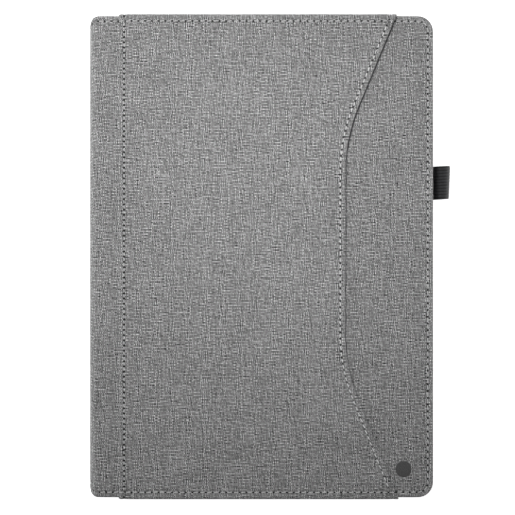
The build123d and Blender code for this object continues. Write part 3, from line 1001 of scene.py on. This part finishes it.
def make_strap(node, side_x, side_y):
    """Elastic across one corner of the panel, its ends turned down over the panel's edges."""
    lo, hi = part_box(node)
    strap_t = hi.z - PANEL_HI.z
    width = 12.0 * MM
    reach = 44.0 * MM
    corner = Vector((PANEL_HI.x if side_x > 0 else PANEL_LO.x, side_y * PANEL_HI.y))
    across = [(-1.0, -0.95), (-1.0, -0.5), (-0.985, -0.15)]
    ribs = 12
    count = ribs * 4
    across += [(-0.96 + 1.92 * k / count, 0.06 * math.cos(2 * math.pi * ribs * k / count) - 0.06)
               for k in range(count + 1)]
    across += [(0.985, -0.15), (1.0, -0.5), (1.0, -0.95)]
    wrap = [(0.75, -2.0), (0.80, -1.4), (0.78, -0.7), (0.60, -0.25), (0.30, -0.04)]
    body = 21
    points, flat = [], []
    for share, dip in across:
        offset = share * width / 2 * math.sqrt(2)
        # where this line of the strap meets the panel's end edge and its side edge
        on_end = (corner.x - side_x * (reach + offset), corner.y)
        on_side = (corner.x, corner.y - side_y * (reach + offset))
        line = [(on_end[0], on_end[1] + side_y * out * MM, down * MM) for out, down in wrap]
        for k in range(body):
            s = k / (body - 1)
            x = on_end[0] + s * (on_side[0] - on_end[0])
            y = on_end[1] + s * (on_side[1] - on_end[1])
            line.append((x, y, 0.0))
        line += [(on_side[0] + side_x * out * MM, on_side[1], down * MM) for out, down in wrap[::-1]]
        for n, (x, y, z) in enumerate(line):
            points.append((x, y, hi.z + z + dip * strap_t))
            flat.append((n * 2.4 * MM, share * width / 2, 0))
    points = np.array(points)
    points[:, 2] = np.maximum(points[:, 2], lo.z)
    faces = grid_faces(len(across), 2 * len(wrap) + body, flip=side_x * side_y < 0)
    obj = mesh_piece(node + "_elastic", points, faces, ELASTIC, flat)
    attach(obj, "back_cover")
    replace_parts(obj, node)


for strap, sides in {"strap_upper_left": (-1, 1), "strap_upper_right": (1, 1),
                     "strap_lower_left": (-1, -1), "strap_lower_right": (1, -1)}.items():
    make_strap(strap, *sides)


# ---- pen loop ----
def make_pen_loop():
    """Elastic tape that leaves the seam, goes round a pen's space and back into the seam."""
    tape_t = 1.05 * MM
    centre_y = (LOOP_LO.y + LOOP_HI.y) / 2
    half_w = (LOOP_HI.y - LOOP_LO.y) / 2
    root = Vector((HALF_W + 0.8 * MM, LOOP_LO.z + tape_t))
    outer_r = 4.8 * MM
    mid_r = outer_r - tape_t / 2
    centre = Vector((LOOP_HI.x - outer_r, root.y + 4.35 * MM))
    line = [(LOOP_LO.x + 0.4 * MM, root.y - tape_t / 2), (root.x - 2.5 * MM, root.y - tape_t / 2),
            (root.x + 0.4 * MM, root.y - tape_t / 2 + 0.02 * MM)]
    for angle in np.linspace(math.radians(-81), math.radians(178), 34):
        line.append((centre.x + mid_r * math.cos(angle), centre.y + mid_r * math.sin(angle)))
    line += [(root.x - 0.50 * MM, root.y + 2.2 * MM), (root.x - 0.62 * MM, root.y + tape_t * 0.8),
             (root.x - 1.4 * MM, root.y + tape_t / 2), (LOOP_LO.x + 0.4 * MM, root.y + tape_t / 2)]
    along, x, z = resample(line, 96, 2)
    dx, dz = np.gradient(x), np.gradient(z)
    size = np.hypot(dx, dz)
    out_x, out_z = dz / size, -dx / size
    ribs = 11
    count = ribs * 6
    section = []
    for k in range(count + 1):
        s = -1 + 2 * k / count
        edge = max(0.0, (abs(s) - 0.96) / 0.04)
        section.append((s, 0.5 - 0.30 * edge + 0.07 * math.cos(math.pi * 2 * ribs * k / count)))
    section += [(s, -h) for s, h in section[::-1]]
    points, flat = [], []
    for i in range(len(along)):
        stretch = fade(x[i], HALF_W, LOOP_HI.x - HALF_W)
        for s, h in section:
            # sewn in slightly askew, so that the far side leans towards the top
            lean, shift = 0.4 * MM * s * stretch, 0.55 * MM * stretch
            points.append((x[i] + out_x[i] * h * tape_t + lean, centre_y + s * half_w + shift,
                           z[i] + out_z[i] * h * tape_t))
            flat.append((along[i], s * ribs / 2 * RIB_PITCH, 0))
    around = len(section)
    faces = ring_faces(len(along), around)
    faces.append(range(around))
    faces.append(range(len(points) - around, len(points))[::-1])
    obj = mesh_piece("pen_loop_elastic", points, faces, ELASTIC, flat)
    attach(obj, "back_cover")
    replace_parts(obj, "pen_loop")


make_pen_loop()


# ---- inside pockets ----
def make_patch(node, seed):
    """A flat pocket sewn to the front lining on three sides, with a turned, open top edge."""
    lo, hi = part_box(node)
    thick = hi.z - lo.z
    width, height = hi.x - lo.x, hi.y - lo.y
    rings = list(PATCH_EDGE[:, 0])
    columns = [(1, d) for d in rings] + [(0, d) for d in spaced(rings[-1], width - rings[-1], 5 * MM)]
    columns += [(-1, d) for d in rings[::-1]]
    # (y, cloth v, distance from the nearer end, sink, whether inside the edges)
    rows = []
    for distance in rings + list(spaced(rings[-1], height - rings[-1], 5 * MM)):
        inset, sink = profile(PATCH_EDGE, distance)
        rows.append((lo.y + inset, lo.y + inset, distance, sink, distance > rings[-1]))
    rows += [(hi.y - inset, hi.y - distance, distance, sink, False) for distance, inset, sink in PATCH_TOP]
    points, flat, seam = [], [], []
    for side_x, across in columns:
        inset, side_sink = profile(PATCH_EDGE, across)
        x = hi.x - inset if side_x < 0 else lo.x + inset
        off_x = (across if side_x else min(across, width - across)) - PATCH_SEAM_INSET
        for y, v, distance, end_sink, inside in rows:
            off, along = distance - PATCH_SEAM_INSET, x
            if abs(off_x) < abs(off):
                off, along = off_x, y
            wave = ripple(x, y, 30 * MM, 0.10, seed) if side_x == 0 and inside else 0.0
            points.append((x, y, lo.z + (max(side_sink, end_sink) - wave) * thick))
            flat.append((x, v, 0))
            seam.append((along / INNER_PITCH, off + SEAM_FAR, 0.8))
    faces = grid_faces(len(columns), len(rows))
    obj = mesh_piece(node + "_sheet", points, faces, LINING, flat, seam)
    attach(obj, "front_cover")
    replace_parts(obj, node)

    left, right = lo.x + PATCH_SEAM_INSET, hi.x - PATCH_SEAM_INSET
    bottom, top = lo.y + PATCH_SEAM_INSET, hi.y - PATCH_SEAM_INSET
    runs = [((left, bottom), (right, bottom)), ((left, bottom), (left, hi.y)),
            ((right, bottom), (right, hi.y)), ((left, top), (right, top))]
    level = lo.z + 0.12 * thick
    spots = []
    for (x0, y0), (x1, y1) in runs:
        sideways = x1 > x0
        low, high = (x0, x1) if sideways else (y0, y1)
        k = math.ceil(low / INNER_PITCH)
        while (k + 1) * INNER_PITCH < high:
            at = (k + 0.5) * INNER_PITCH
            place = (at, y0, level) if sideways else (x0, at, level)
            spots.append((place, (1, 0, 0) if sideways else (0, 1, 0), (0, 0, -1)))
            k += 1
    thread = stitches(
        node + "_stitches", spots, 2.4 * MM, INNER_THREAD, radius=0.2 * MM, seed=20 + seed)
    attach(thread, "front_cover")


patch_names = ("slip_pocket", "card_slot_upper", "card_slot_middle", "card_slot_lower")
for number, patch_name in enumerate(patch_names, start=1):
    make_patch(patch_name, seed=number)


# ---- floor, light and camera ----
def make_floor():
    """A wide white floor under the case."""
    s = Shader("floor_white", roughness=0.9, specular=0.0)
    s.bsdf.inputs["Base Color"].default_value = (0.85, 0.85, 0.85, 1)
    s.bsdf.inputs["Emission Color"].default_value = (1, 1, 1, 1)
    s.bsdf.inputs["Emission Strength"].default_value = 1.0
    reach = 3.0
    corners = [(-reach, -reach, 0), (reach, -reach, 0), (reach, reach, 0), (-reach, reach, 0)]
    floor = mesh_piece("floor", corners, [(0, 1, 2, 3)], s.material)
    floor.location.z = -0.25 * MM


def make_light(name, place, target, size, power):
    """A round area light; size in metres, power in watts."""
    data = bpy.data.lights.new(name, "AREA")
    data.shape, data.size, data.energy = "DISK", size, power
    lamp = bpy.data.objects.new(name, data)
    lamp.location = place
    lamp.rotation_mode = "QUATERNION"
    lamp.rotation_quaternion = (Vector(target) - Vector(place)).to_track_quat("-Z", "Y")
    bpy.context.scene.collection.objects.link(lamp)


def make_room(tree):
    """White low down all round, like a paper sweep, and dim overhead."""
    direction = tree.nodes.new("ShaderNodeTexCoord")
    parts = tree.nodes.new("ShaderNodeSeparateXYZ")
    dim = tree.nodes.new("ShaderNodeMapRange")
    for socket, value in zip(("From Min", "From Max", "To Min", "To Max"), (0.05, 0.30, 1.0, 0.06)):
        dim.inputs[socket].default_value = value
    tree.links.new(direction.outputs["Generated"], parts.inputs[0])
    tree.links.new(parts.outputs["Z"], dim.inputs["Value"])
    tree.links.new(dim.outputs[0], tree.nodes["Background"].inputs["Strength"])
    tree.nodes["Background"].inputs["Color"].default_value = (1, 1, 1, 1)


def make_camera():
    """Straight above, a long lens, the frame 286 mm wide at the front cover."""
    data = bpy.data.cameras.new("camera")
    data.lens, data.sensor_width = 150.0, 36.0
    data.clip_start, data.clip_end = 0.01, 20.0
    camera = bpy.data.objects.new("camera", data)
    wide = 286.05 * MM
    camera.location = (-2.12 * MM, -0.46 * MM, FRONT_TOP + wide * data.lens / data.sensor_width)
    bpy.context.scene.collection.objects.link(camera)
    bpy.context.scene.camera = camera


make_floor()
make_light("key", (-0.15, 0.50, 0.45), (0.0, 0.0, 0.0), 0.14, 2.65)
make_light("overhead", (0.005, 0.045, 0.25), (0.005, 0.045, 0.0), 0.12, 0.40)
make_light("left", (-0.9, 0.10, 0.30), (0.0, 0.0, 0.0), 0.4, 3.9)
make_light("right", (0.9, 0.10, 0.12), (0.0, 0.0, 0.0), 0.4, 1.6)
make_camera()
scene = bpy.context.scene
scene.view_settings.view_transform = "Standard"
scene.world = bpy.data.worlds.new("room")
scene.world.use_nodes = True
make_room(scene.world.node_tree)
